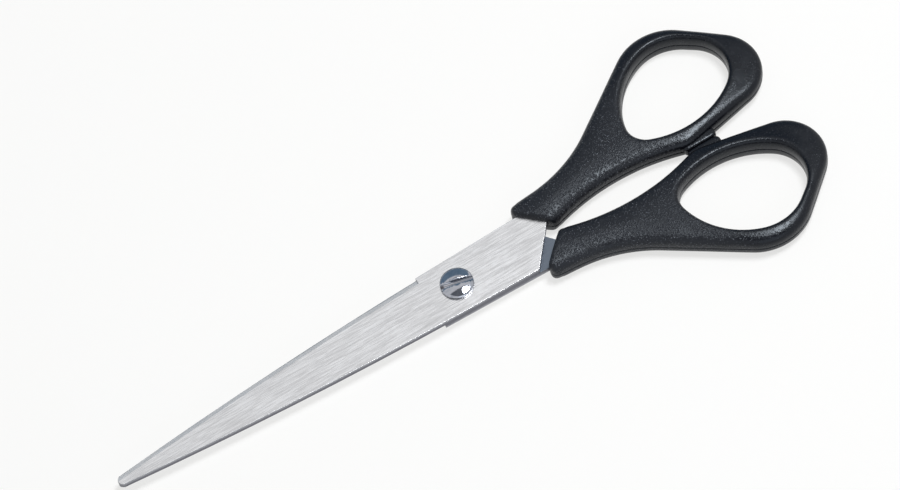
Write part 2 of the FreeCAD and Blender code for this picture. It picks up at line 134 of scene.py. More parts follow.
@dataclass(frozen=True)
class Arc:
    """A round stretch of an outline; a negative sweep runs clockwise."""

    centre: np.ndarray
    radius: float
    first: float
    sweep: float

    @classmethod
    def between(cls, centre: np.ndarray, start: np.ndarray, end: np.ndarray, clockwise: bool) -> "Arc":
        """The arc about a centre from one point to another.

        Args:
            centre: the centre.
            start: where it starts.
            end: the direction in which it ends.
            clockwise: which way round it runs.

        Returns:
            The arc, with less than a full turn.
        """
        first = math.atan2(*(start - centre)[::-1])
        last = math.atan2(*(end - centre)[::-1])
        sweep = (last - first) % math.tau
        if clockwise:
            sweep -= math.tau
        return cls(centre, float(np.linalg.norm(start - centre)), first, sweep)

    @property
    def length(self) -> float:
        """How long the stretch is."""
        return abs(self.sweep) * self.radius

    def along(self, share: np.ndarray) -> np.ndarray:
        """Points at the given shares of the arc: the centre plus the radius in the turned direction."""
        angle = self.first + self.sweep * share
        return self.centre + self.radius * np.stack([np.cos(angle), np.sin(angle)], axis=-1)

    def distance(self, points: np.ndarray) -> np.ndarray:
        """Distance of each point from the arc, measured along the radius or to its nearer end.

        Args:
            points: plane points, in an array whose last axis holds x and y.

        Returns:
            One distance for each point.
        """
        away = points - self.centre
        turned = (np.arctan2(away[..., 1], away[..., 0]) - self.first) * np.sign(self.sweep)
        beside = turned % math.tau <= abs(self.sweep)
        to_circle = np.abs(np.linalg.norm(away, axis=-1) - self.radius)
        ends = self.along(np.array([0.0, 1.0]))
        to_ends = np.minimum(*(np.linalg.norm(points - end, axis=-1) for end in ends))
        return np.where(beside, to_circle, to_ends)


Stretch = Line | Arc


def unit(angle: float) -> np.ndarray:
    """The direction at an angle from +X, in radians."""
    return np.array([math.cos(angle), math.sin(angle)])


def nearest(stretches: list[Stretch], points: np.ndarray) -> np.ndarray:
    """Distance of each point from the nearest of some stretches."""
    return np.min([stretch.distance(points) for stretch in stretches], axis=0)


def walk(stretches: list[Stretch], spacing: float) -> np.ndarray:
    """Evenly spread points along a chain of stretches, without the last end.

    Args:
        stretches: the chain, each starting where the one before it ends.
        spacing: the widest step.

    Returns:
        The points, one a row.
    """
    rows = []
    for stretch in stretches:
        steps = max(2, math.ceil(stretch.length / spacing))
        rows.append(stretch.along(np.arange(steps) / steps))
    return np.concatenate(rows)


def tangent_run(first: np.ndarray, first_radius: float, second: np.ndarray, second_radius: float) -> Line:
    """The straight run that touches two circles, both on its right; a negative radius puts one on its left.

    Args:
        first: centre of the circle that the run leaves.
        first_radius: its radius, or zero for a point.
        second: centre of the circle that the run reaches.
        second_radius: its radius, or zero for a point.

    Returns:
        The run from one touching point to the other.
    """
    way = second - first
    lean = math.acos((first_radius - second_radius) / np.linalg.norm(way))
    normal = unit(math.atan2(way[1], way[0]) + lean)
    return Line(first + normal * first_radius, second + normal * second_radius)


def wrapping_arc(first: np.ndarray, first_radius: float, second: np.ndarray, second_radius: float,
                 radius: float) -> Arc:
    """The clockwise arc that wraps two smaller circles and touches both.

    Args:
        first: centre of the circle where the arc starts.
        first_radius: its radius.
        second: centre of the circle where the arc ends.
        second_radius: its radius.
        radius: radius of the arc.

    Returns:
        The arc between the two touching points.
    """
    to_first = radius - first_radius
    to_second = radius - second_radius
    way = second - first
    span = float(np.linalg.norm(way))
    along = (to_first ** 2 - to_second ** 2 + span ** 2) / (2 * span)
    aside = math.sqrt(to_first ** 2 - along ** 2)
    ahead = way / span
    centre = first + ahead * along + np.array([ahead[1], -ahead[0]]) * aside
    start = centre + (first - centre) / to_first * radius
    return Arc.between(centre, start, second, True)


def crossing(line: Line, centre: np.ndarray, radius: float) -> np.ndarray:
    """The point where a line that starts outside a circle enters it.

    Args:
        line: the line.
        centre: the circle's centre.
        radius: the circle's radius.

    Returns:
        The crossing nearer to the line's start.
    """
    ahead = (line.end - line.start) / line.length
    back = line.start - centre
    half = back @ ahead
    reach = -half - math.sqrt(half ** 2 - back @ back + radius ** 2)
    return line.start + ahead * reach


# ---------------------------------------------------------------- grips

def bulge(share: np.ndarray, power: float) -> np.ndarray:
    """Height of a rounded edge: nought at its foot, one from share 1 on, along a superellipse between.

    Args:
        share: distance from the edge over the width of the rounding.
        power: 2 gives a quarter ellipse, and more gives a steeper wall.

    Returns:
        The height as a share of the full height.
    """
    rest = np.clip(1.0 - share, 0.0, 1.0)
    return (1.0 - rest ** power) ** (1.0 / power)


def eased(count: int, power: float) -> np.ndarray:
    """Shares from 0 to 1 that crowd towards both ends: t to the power over that plus its mirror image."""
    step = np.linspace(0.0, 1.0, count)
    return step ** power / (step ** power + (1.0 - step) ** power)


def smooth_step(low: float, high: float, number: np.ndarray) -> np.ndarray:
    """Nought below low, one above high, and the cubic 3t2 - 2t3 between."""
    share = np.clip((number - low) / (high - low), 0.0, 1.0)
    return share * share * (3.0 - 2.0 * share)


@dataclass
class Grip:
    """One moulded grip: a crowned shank behind the blade and a round-rimmed finger loop.

    The sizes are in millimetres. Places are measured from the CAD grip's own box: backwards from its far
    end in x and down from its crown in y.
    """

    side: Side
    finish: "MouldedPlastic"
    face_angle: float = 45.0
    face_corner: tuple[float, float] = (73.5, 37.0)
    face_rise: float = 11.1
    face_corner_radius: float = 2.2
    flare_angle: float = 4.5
    bolster_length: float = 10.2
    shank_hollow_radius: float = 41.5
    inner_curve_radius: float = 63.0
    waist: tuple[float, float] = (31.0, 37.3)
    waist_radius: float = 8.0
    heel: tuple[float, float] = (11.6, 21.4)
    heel_radius: float = 11.6
    crown: tuple[float, float] = (24.4, 15.5)
    crown_radius: float = 15.5
    hole_crown: tuple[float, float] = (23.3, 18.45)
    hole_crown_radius: float = 13.5
    hole_rear: tuple[float, float] = (19.1, 17.9)
    hole_rear_radius: float = 10.5
    hole_front: tuple[float, float] = (36.4, 23.9)
    hole_front_radius: float = 6.0
    hole_side_radius: float = 22.5
    hole_belly_radius: float = 26.0
    hole_middle: tuple[float, float] = (25.5, 18.6)
    side_rounding: float = 3.4
    rim_rounding: float = 2.3
    side_power: float = 3.4
    rim_power: float = 3.0
    face_power: float = 3.4
    face_rounding: float = 1.7
    crown_drop: float = 1.0
    crown_reach: float = 8.0
    loop_fall: float = 1.9
    loop_reach: float = 7.0
    shank_to_loop: tuple[float, float] = (50.0, 34.0)
    cut_from_end: float = 49.5
    seam_depth: float = 0.22
    seam_half_width: float = 0.28
    lug_span: tuple[float, float] = (22.6, 32.7)
    lug_root: float = 4.0
    lug_thickness: float = 3.8
    lug_power: float = 0.36
    lug_grid: tuple[int, int] = (25, 49)
    clean_digits: int = 12
    settling: tuple[float, float] = (55.0, 39.0)
    ring_spacing: float = 0.55
    row_crowding: float = 2.4
    edge_crowding: float = 3.0
    rings: int = 56
    rows: int = 84
    columns: int = 64
    seam_samples: int = 4001
    side_step: float = 0.004
    hole_step: float = 0.01
    outer_side: list[Stretch] = field(default_factory=list)
    inner_side: list[Stretch] = field(default_factory=list)
    front: list[Stretch] = field(default_factory=list)
    loop: list[Stretch] = field(default_factory=list)
    hole: list[Stretch] = field(default_factory=list)

    def __post_init__(self) -> None:
        """Read the CAD grip's box and draw the outlines."""
        low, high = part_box("upper_handle")
        self.end = np.array([high.x, high.y]) / MM
        self.floor = low.y / MM
        self.half = high.z / MM
        self.draw_outline()
        self.draw_hole()

    def at(self, place: tuple[float, float]) -> np.ndarray:
        """The plane point that lies that far in front of the loop's end and below its crown."""
        return self.end - np.array(place)

    def draw_outline(self) -> None:
        """Work out the outline's stretches, clockwise from the front face's outer corner."""
        face = math.radians(self.face_angle)
        flare = math.radians(self.flare_angle)
        inner_corner = self.at(self.face_corner)
        outer_corner = inner_corner + np.array([-1.0 / math.tan(face), 1.0]) * self.face_rise
        bolster = Line(outer_corner, outer_corner + unit(flare) * self.bolster_length)
        hollow_centre = bolster.end + unit(flare + math.pi / 2) * self.shank_hollow_radius
        crown, heel, waist = self.at(self.crown), self.at(self.heel), self.at(self.waist)
        rise = tangent_run(hollow_centre, -self.shank_hollow_radius, crown, self.crown_radius)
        fall = tangent_run(crown, self.crown_radius, heel, self.heel_radius)
        underside = tangent_run(heel, self.heel_radius, waist, 0.0)
        chord = inner_corner - waist
        middle = (inner_corner + waist) / 2
        depth = math.sqrt(self.inner_curve_radius ** 2 - chord @ chord / 4)
        inner_centre = middle + np.array([-chord[1], chord[0]]) / np.linalg.norm(chord) * depth
        inside = unit(math.atan2(*(underside.end - underside.start)[::-1]) - math.pi / 2)
        offset = inside * self.waist_radius
        shifted = Line(underside.start + offset, underside.end + offset)
        round_centre = crossing(shifted, inner_centre, self.inner_curve_radius + self.waist_radius)
        to_inner = inner_centre + (round_centre - inner_centre) * (
            self.inner_curve_radius / (self.inner_curve_radius + self.waist_radius))
        leaves = round_centre - offset
        inner_arc = Arc.between(inner_centre, to_inner, inner_corner, False)
        self.outer_side = [bolster, Arc.between(hollow_centre, bolster.end, rise.start, False)]
        self.inner_side = [inner_arc]
        self.loop = [
            rise,
            Arc.between(crown, rise.end, fall.start, True),
            fall,
            Arc.between(heel, fall.end, underside.start, True),
            Line(underside.start, leaves),
            Arc.between(round_centre, leaves, to_inner, True),
        ]
        self.draw_front(inner_corner, outer_corner, bolster, inner_arc)

    def draw_front(self, inner_corner: np.ndarray, outer_corner: np.ndarray, bolster: Line,
                   inner_arc: Arc) -> None:
        """Round the two corners of the front face in plan.

        Args:
            inner_corner: the face's sharp corner on the inner side.
            outer_corner: the face's sharp corner on the outer side.
            bolster: the straight outer side behind the face.
            inner_arc: the hollow inner side behind the face.
        """
        radius = self.face_corner_radius
        along_face = (outer_corner - inner_corner) / np.linalg.norm(outer_corner - inner_corner)
        self.into = np.array([along_face[1], -along_face[0]])
        self.face_point = inner_corner
        along_bolster = (bolster.end - bolster.start) / bolster.length
        aside = np.array([along_bolster[1], -along_bolster[0]])
        gap = math.acos(float(-along_face @ along_bolster))
        outer_centre = outer_corner + (along_bolster * radius / math.tan(gap / 2)) + aside * radius
        shifted = Line(outer_corner + self.into * radius, inner_corner + self.into * radius)
        inner_centre = crossing(shifted, inner_arc.centre, inner_arc.radius + radius)
        to_side = inner_arc.centre + (inner_centre - inner_arc.centre) * (
            inner_arc.radius / (inner_arc.radius + radius))
        side_start = outer_centre - aside * radius
        face_start = inner_centre - self.into * radius
        face_end = outer_centre - self.into * radius
        self.outer_corner_arc = Arc.between(outer_centre, face_end, side_start, True)
        self.inner_corner_arc = Arc.between(inner_centre, to_side, face_start, True)
        self.front = [self.inner_corner_arc, Line(face_start, face_end), self.outer_corner_arc]
        self.outer_path = [self.outer_corner_arc, Line(side_start, bolster.end), self.outer_side[1]]
        back = Arc.between(inner_arc.centre, to_side, inner_arc.along(np.array(0.0)), True)
        turned = Arc(inner_centre, radius, self.inner_corner_arc.first + self.inner_corner_arc.sweep,
                     -self.inner_corner_arc.sweep)
        self.inner_path = [turned, back]

    def draw_hole(self) -> None:
        """Work out the finger hole's stretches, clockwise from its crown."""
        crown, rear, front = self.at(self.hole_crown), self.at(self.hole_rear), self.at(self.hole_front)
        belly = wrapping_arc(rear, self.hole_rear_radius, front, self.hole_front_radius,
                             self.hole_belly_radius)
        side = wrapping_arc(front, self.hole_front_radius, crown, self.hole_crown_radius,
                            self.hole_side_radius)
        fall = tangent_run(crown, self.hole_crown_radius, rear, self.hole_rear_radius)
        ends = np.array([0.0, 1.0])
        self.hole = [
            Arc.between(crown, side.along(ends)[1], fall.start, True),
            fall,
            Arc.between(rear, fall.end, belly.along(ends)[0], True),
            belly,
            Arc.between(front, belly.along(ends)[1], side.along(ends)[0], True),
            side,
        ]

    def height(self, points: np.ndarray) -> np.ndarray:
        """Half the grip's thickness over each plane point.

        The full half thickness, less a fall, times three rounded edges: the sides, the finger hole's rim
        and the front face. On the shank the fall is a crown: the square of the share of its reach that
        is left at that distance from the side. On the loop it grows with the distance from the hole, as
        one less an exponential, so that the loop slopes down outwards from its rim.

        Args:
            points: plane points in millimetres.

        Returns:
            The heights in millimetres.
        """
        from_side = nearest(self.inner_side + self.outer_side + self.loop, points)
        from_hole = nearest(self.hole, points)
        start, stop = self.shank_to_loop
        loop = smooth_step(self.end[0] - start, self.end[0] - stop, points[..., 0])
        crown = self.crown_drop * np.clip(1.0 - from_side / self.crown_reach, 0.0, 1.0) ** 2
        dish = self.loop_fall * (1.0 - np.exp(-from_hole / self.loop_reach))
        full = self.half - crown * (1.0 - loop) - dish * loop
        sides = bulge(from_side / self.side_rounding, self.side_power)
        rim = bulge(from_hole / self.rim_rounding, self.rim_power)
        face = bulge(nearest(self.front, points) / self.face_rounding, self.face_power)
        return full * sides * rim * face

    def cut_ends(self) -> tuple[np.ndarray, np.ndarray]:
        """Where the seam between the shank's patch and the loop's meets the grip's two sides.

        Returns:
            The point on the outer side and the one on the inner side.
        """
        target = self.end[0] - self.cut_from_end
        ends = []
        for path in (self.outer_path[-1], self.inner_path[-1]):
            share = np.linspace(0.0, 1.0, self.seam_samples)
            track = path.along(share)
            order = np.argsort(track[:, 0])
            ends.append(path.along(np.interp(target, track[order, 0], share[order])))
        return ends[0], ends[1]

    def shank_patch(self) -> np.ndarray:
        """Plane points of the shank's grid: rows slide from the seam to the front face.

        Each row is a straight line across the shank, between two side points equally far, in share, from
        the front face, and its columns crowd towards the sides.

        Returns:
            The grid, from the seam to the front face and from the outer side to the inner one.
        """
        outer_end, inner_end = self.cut_ends()
        shares = np.linspace(1.0, 0.0, self.rows) ** self.row_crowding
        sides = []
        for path, end in ((self.outer_path, outer_end), (self.inner_path, inner_end)):
            track = np.concatenate([walk(path, self.side_step), path[-1].along(np.array([1.0]))])
            depth = (track - self.face_point) @ self.into
            goal = shares * ((end - self.face_point) @ self.into)
            sides.append(np.stack([np.interp(goal, depth, track[:, axis]) for axis in (0, 1)], axis=-1))
        sides[0][0], sides[1][0] = outer_end, inner_end
        across = eased(self.columns, self.edge_crowding)[None, :, None]
        return sides[0][:, None] * (1.0 - across) + sides[1][:, None] * across

    def loop_patch(self, seam: np.ndarray) -> np.ndarray:
        """Plane points of the loop's grid: rays from the hole's middle, each from the rim to the hole.

        Args:
            seam: the shank patch's row at the seam, from the outer side to the inner one.

        Returns:
            The grid, with one ray a row.
        """
        outer_end, inner_end = seam[0], seam[-1]
        hollow = self.outer_path[-1]
        before = Arc.between(hollow.centre, outer_end, hollow.along(np.array(1.0)), False)
        inner = self.inner_side[0]
        after = Arc.between(inner.centre, inner.along(np.array(0.0)), inner_end, False)
        rim = np.concatenate([walk([before, *self.loop, after], self.ring_spacing), seam[::-1][:-1]])
        middle = self.at(self.hole_middle)
        away = rim - middle
        angle = np.arctan2(away[:, 1], away[:, 0])
        edge = walk(self.hole, self.hole_step) - middle
        edge_angle = np.arctan2(edge[:, 1], edge[:, 0])
        order = np.argsort(edge_angle)
        radius = np.interp(angle, edge_angle[order], np.linalg.norm(edge, axis=1)[order], period=math.tau)
        hole = middle + away * (radius / np.linalg.norm(away, axis=1))[:, None]
        share = eased(self.rings, self.edge_crowding)[None, :, None]
        return rim[:, None] * (1.0 - share) + hole[:, None] * share

    def inward(self, plane: np.ndarray) -> np.ndarray:
        """Directions towards the grip's middle line, which runs down the shank to the middle of the hole.

        Args:
            plane: the grid of plane points.

        Returns:
            One direction of unit length for each point.
        """
        middle = self.at(self.hole_middle)
        start = (self.front[1].start + self.front[1].end) / 2
        begin, settle = self.settling
        settled = smooth_step(self.end[0] - begin, self.end[0] - settle, plane[..., 0])
        x = plane[..., 0] + (middle[0] - plane[..., 0]) * settled
        y = start[1] + (middle[1] - start[1]) * (x - start[0]) / (middle[0] - start[0])
        way = np.stack([x, y], axis=-1) - plane
        return way / np.maximum(np.linalg.norm(way, axis=-1, keepdims=True), NO_LENGTH)

    def lift(self, plane: np.ndarray, closed_edges: np.ndarray, side_sign: np.ndarray) -> np.ndarray:
        """Raise a plane grid to the grip's upper surface, with a fine parting groove at its edges.

        The height comes from the height formula, and is nought on the parting line. The groove draws a
        point inwards by a depth that falls evenly to nought over its half width in height.

        Args:
            plane: the grid of plane points.
            closed_edges: true where a grid point lies on the parting line.
            side_sign: one by the outer edge, minus one by the finger hole, for each column.

        Returns:
            The grid of points in millimetres.
        """
        height = np.where(closed_edges, 0.0, self.height(plane))
        depth = self.seam_depth * np.clip(1.0 - height / self.seam_half_width, 0.0, 1.0) * side_sign
        drawn = plane + self.inward(plane) * depth[..., None]
        return np.concatenate([drawn, height[..., None]], axis=-1)

    def lug_shell(self) -> np.ndarray:
        """A rounded block for the stop lug: a superellipsoid, as a closed grid of points.

        Round the block each coordinate is a small power of a cosine or a sine of longitude, times the
        same power of the cosine of latitude, and z is that power of the sine of latitude.

        Returns:
            The grid, from pole to pole and all the way round.
        """
        lat = np.linspace(-math.pi / 2, math.pi / 2, self.lug_grid[0])[:, None]
        lon = np.linspace(0.0, math.tau, self.lug_grid[1])[None, :]
        far, near = self.end[0] - self.lug_span[0], self.end[0] - self.lug_span[1]
        size = np.array([far - near, self.lug_root, self.lug_thickness]) / 2
        centre = np.array([(far + near) / 2, self.floor + size[1], 0.0])

        def soft(number: np.ndarray) -> np.ndarray:
            """The number's size raised to the small power, with its sign."""
            return np.sign(number) * np.abs(np.round(number, self.clean_digits)) ** self.lug_power

        shape = [soft(np.cos(lat)) * soft(np.cos(lon)), soft(np.cos(lat)) * soft(np.sin(lon)),
                 soft(np.sin(lat)) * np.ones_like(lon)]
        return centre + np.stack(shape, axis=-1) * size

    def build(self) -> bpy.types.Object:
        """Make the grip's mesh, dress it and hang it on its body.

        Returns:
            The finished object.
        """
        shank = self.shank_patch()
        loop = self.loop_patch(shank[0])
        shank_edges = np.zeros(shank.shape[:2], bool)
        shank_edges[:, [0, -1]] = True
        shank_edges[-1] = True
        loop_edges = np.zeros(loop.shape[:2], bool)
        loop_edges[:, -1] = True
        loop_edges[: len(loop) - len(shank[0]) + 2, 0] = True
        mirror = np.array([1.0, 1.0, -1.0])
        top_shank = self.lift(shank, shank_edges, np.ones(self.columns))
        top_loop = self.lift(loop, loop_edges, np.where(np.arange(self.rings) < self.rings // 2, 1.0, -1.0))
        top_loop = np.concatenate([top_loop, top_loop[:1]])
        sheets = [top_shank, top_shank * mirror, top_loop, top_loop * mirror, self.lug_shell()]
        sheets = [self.side.turn(sheet) * MM for sheet in sheets]
        grip = mesh_from_grids(f"{self.side.value}_grip", sheets)
        dress(grip, self.finish.material())
        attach(grip, self.side.body)
        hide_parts(f"{self.side.value}_handle")
        return grip


# ---------------------------------------------------------------- meshes

def mesh_from_grids(name: str, grids: list[np.ndarray]) -> bpy.types.Object:
    """One smooth closed mesh from several grids of points, welded where they meet.

    Args:
        name: the object's name.
        grids: arrays of points in metres, each with two grid axes.

    Returns:
        The object, with its faces pointing outwards.
    """
    points, faces, start = [], [], 0
    for grid in grids:
        rows, columns = grid.shape[:2]
        index = np.arange(rows * columns).reshape(rows, columns) + start
        quads = np.stack([index[:-1, :-1], index[1:, :-1], index[1:, 1:], index[:-1, 1:]], axis=-1)
        points.append(grid.reshape(-1, 3))
        faces.append(quads.reshape(-1, 4))
        start += rows * columns
    mesh = bpy.data.meshes.new(name)
    mesh.from_pydata(np.concatenate(points).tolist(), [], np.concatenate(faces).tolist())
    tidy_mesh(mesh)
    mesh.shade_smooth()
    thing = bpy.data.objects.new(name, mesh)
    bpy.context.scene.collection.objects.link(thing)
    return thing


def tidy_mesh(mesh: bpy.types.Mesh, flat_angle: float = 0.0) -> None:
    """Weld a mesh's doubled points, drop collapsed faces and turn its faces outwards.

    Args:
        mesh: the mesh.
        flat_angle: neighbours that meet under this angle, in radians, become one face.
    """
    work = bmesh.new()
    work.from_mesh(mesh)
    bmesh.ops.remove_doubles(work, verts=work.verts, dist=WELD_DISTANCE * MM)
    bmesh.ops.dissolve_degenerate(work, edges=work.edges, dist=LEAST_STEP * MM)
    if flat_angle:
        bmesh.ops.dissolve_limit(work, angle_limit=flat_angle, verts=work.verts, edges=work.edges)
    bmesh.ops.recalc_face_normals(work, faces=work.faces)
    work.to_mesh(mesh)
    work.free()


def dress(thing: bpy.types.Object, material: bpy.types.Material) -> None:
    """Give a piece its one material.

    Args:
        thing: the piece.
        material: its material.
    """
    thing.data.materials.clear()
    thing.data.materials.append(material)


@dataclass
class SoftenedPart:
    """A metal part with the CAD part's own shape and small rounded edges.

    Tumbling rounds every edge a little. A stamped part's outer face also rolls over at its side walls.
    The rounding, the roll and the seat's radius are in millimetres and the angles in degrees.
    """

    node: str
    body: str
    slot: Slot
    name: str
    rounding: float
    material: bpy.types.Material
    rolled: float = 0.0
    seat_radius: float = 7.0
    corner_angle: float = 25.0
    flat_angle: float = 0.4
    rounding_steps: int = 3
    roll_steps: int = 5

    def build(self) -> bpy.types.Object:
        """Copy the CAD mesh, weld it, round its edges and hang it on its body.

        A second weld takes away the slivers that the rounding leaves, and the flat faces keep level
        normals up to their rounded edges.

        Returns:
            The finished object.
        """
        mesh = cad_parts[self.node].data.copy()
        mesh.name = self.name
        if "custom_normal" in mesh.attributes:
            mesh.attributes.remove(mesh.attributes["custom_normal"])
        tidy_mesh(mesh, flat_angle=math.radians(self.flat_angle))
        part = bpy.data.objects.new(self.name, mesh)
        bpy.context.scene.collection.objects.link(part)
        mesh.shade_smooth()
        if self.rolled:
            self.roll_edges(part)
        rounded = part.modifiers.new("edge_rounding", "BEVEL")
        rounded.width = self.rounding * MM
        rounded.segments = self.rounding_steps
        rounded.limit_method = "ANGLE"
        rounded.angle_limit = math.radians(self.corner_angle)
        welded = part.modifiers.new("sliver_weld", "WELD")
        welded.merge_threshold = SLIVER_WIDTH * MM
        weighted = part.modifiers.new("flat_faces", "WEIGHTED_NORMAL")
        weighted.weight = 100
        dress(part, self.material)
        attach(part, self.body)
        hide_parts(self.node)
        return part

    def roll_edges(self, part: bpy.types.Object) -> None:
        """Round the outer face where it meets the side walls, clear of the screw's seat.

        A point is on such an edge where an upright edge of the mesh ends on the outer face. The mesh is
        read whole, and no point of it moves.

        Args:
            part: the object whose mesh is the welded CAD shape.
        """
        mesh = part.data
        points = np.empty(3 * len(mesh.vertices))
        mesh.vertices.foreach_get("co", points)
        points = points.reshape(-1, 3)
        ends = np.empty(2 * len(mesh.edges), int)
        mesh.edges.foreach_get("vertices", ends)
        ends = ends.reshape(-1, 2)
        across = np.linalg.norm(points[ends[:, 0], :2] - points[ends[:, 1], :2], axis=1)
        height = np.abs(points[:, 2])
        on_wall = np.zeros(len(points), bool)
        on_wall[ends[across < LEAST_STEP * MM]] = True
        clear_of_seat = np.linalg.norm(points[:, :2], axis=1) > self.seat_radius * MM
        outer = height > height.max() - LEAST_STEP * MM
        rim = part.vertex_groups.new(name="rolled_edge")
        rim.add(np.flatnonzero(on_wall & outer & clear_of_seat).tolist(), 1.0, "REPLACE")
        roll = part.modifiers.new("edge_roll", "BEVEL")
        roll.width = self.rolled * MM
        roll.segments = self.roll_steps
        roll.limit_method = "VGROUP"
        roll.vertex_group = rim.name


# ---------------------------------------------------------------- shader groups

class Nodes:
    """Short calls for building a node tree."""

    def __init__(self, tree: bpy.types.NodeTree) -> None:
        """Work in this tree."""
        self.tree = tree

    def add(self, kind: str, settings: dict | None = None, **inputs: object) -> bpy.types.Node:
        """Add a node.

        Args:
            kind: the node's type, without the words ShaderNode.
            settings: properties to set on the node.
            inputs: values or sockets for its inputs, with an underscore for each space.

        Returns:
            The node.
        """
        node = self.tree.nodes.new("ShaderNode" + kind)
        for key, setting in (settings or {}).items():
            setattr(node, key, setting)
        for key, given in inputs.items():
            self.feed(node.inputs[key.replace("_", " ")], given)
        return node

    def feed(self, socket: bpy.types.NodeSocket, given: object) -> None:
        """Link a socket to another one, or set its value.

        Args:
            socket: the input.
            given: the output to link to it, or its value.
        """
        if isinstance(given, bpy.types.NodeSocket):
            self.tree.links.new(given, socket)
        else:
            socket.default_value = given

    def math(self, operation: str, *values: object) -> bpy.types.NodeSocket:
        """The result of one arithmetic step.

        Args:
            operation: the step, such as ADD.
            values: the numbers or sockets that it takes, in order.

        Returns:
            The result.
        """
        node = self.tree.nodes.new("ShaderNodeMath")
        node.operation = operation
        for socket, given in zip(node.inputs, values):
            self.feed(socket, given)
        return node.outputs[0]

    def spread(self, number: bpy.types.NodeSocket, low: object, high: object, to_low: object = 0.0,
               to_high: object = 1.0) -> bpy.types.NodeSocket:
        """Map a number smoothly from one span to another.

        Args:
            number: the number.
            low: start of its span.
            high: end of its span.
            to_low: what the start becomes.
            to_high: what the end becomes.

        Returns:
            The mapped number.
        """
        node = self.tree.nodes.new("ShaderNodeMapRange")
        node.interpolation_type = "SMOOTHSTEP"
        for socket, given in zip(node.inputs, (number, low, high, to_low, to_high)):
            self.feed(socket, given)
        return node.outputs[0]

    def blend(self, mode: str, share: object, first: object, second: object) -> bpy.types.NodeSocket:
        """Mix two colours.

        Args:
            mode: how they mix, such as MIX or MULTIPLY.
            share: how much of the second.
            first: the first colour.
            second: the second colour.

        Returns:
            The mixed colour.
        """
        node = self.tree.nodes.new("ShaderNodeMix")
        node.data_type = "RGBA"
        node.blend_type = mode
        for socket, given in zip((node.inputs[0], node.inputs[6], node.inputs[7]), (share, first, second)):
            self.feed(socket, given)
        return node.outputs[2]


def new_group(name: str, inputs: dict[str, float],
              outputs: list[str]) -> tuple[bpy.types.NodeTree, Nodes, bpy.types.Node, bpy.types.Node]:
    """An empty shader group.

    Args:
        name: the group's name.
        inputs: each number input and its usual value; "Vector" is added to them.
        outputs: names of the number outputs.

    Returns:
        The group, a helper for its tree, its input node and its output node.
    """
    group = bpy.data.node_groups.new(name, "ShaderNodeTree")
    group.interface.new_socket("Vector", in_out="INPUT", socket_type="NodeSocketVector")
    for key, usual in inputs.items():
        socket = group.interface.new_socket(key, in_out="INPUT", socket_type="NodeSocketFloat")
        socket.default_value = usual
    for key in outputs:
        group.interface.new_socket(key, in_out="OUTPUT", socket_type="NodeSocketFloat")
    nodes = Nodes(group)
    return group, nodes, group.nodes.new("NodeGroupInput"), group.nodes.new("NodeGroupOutput")


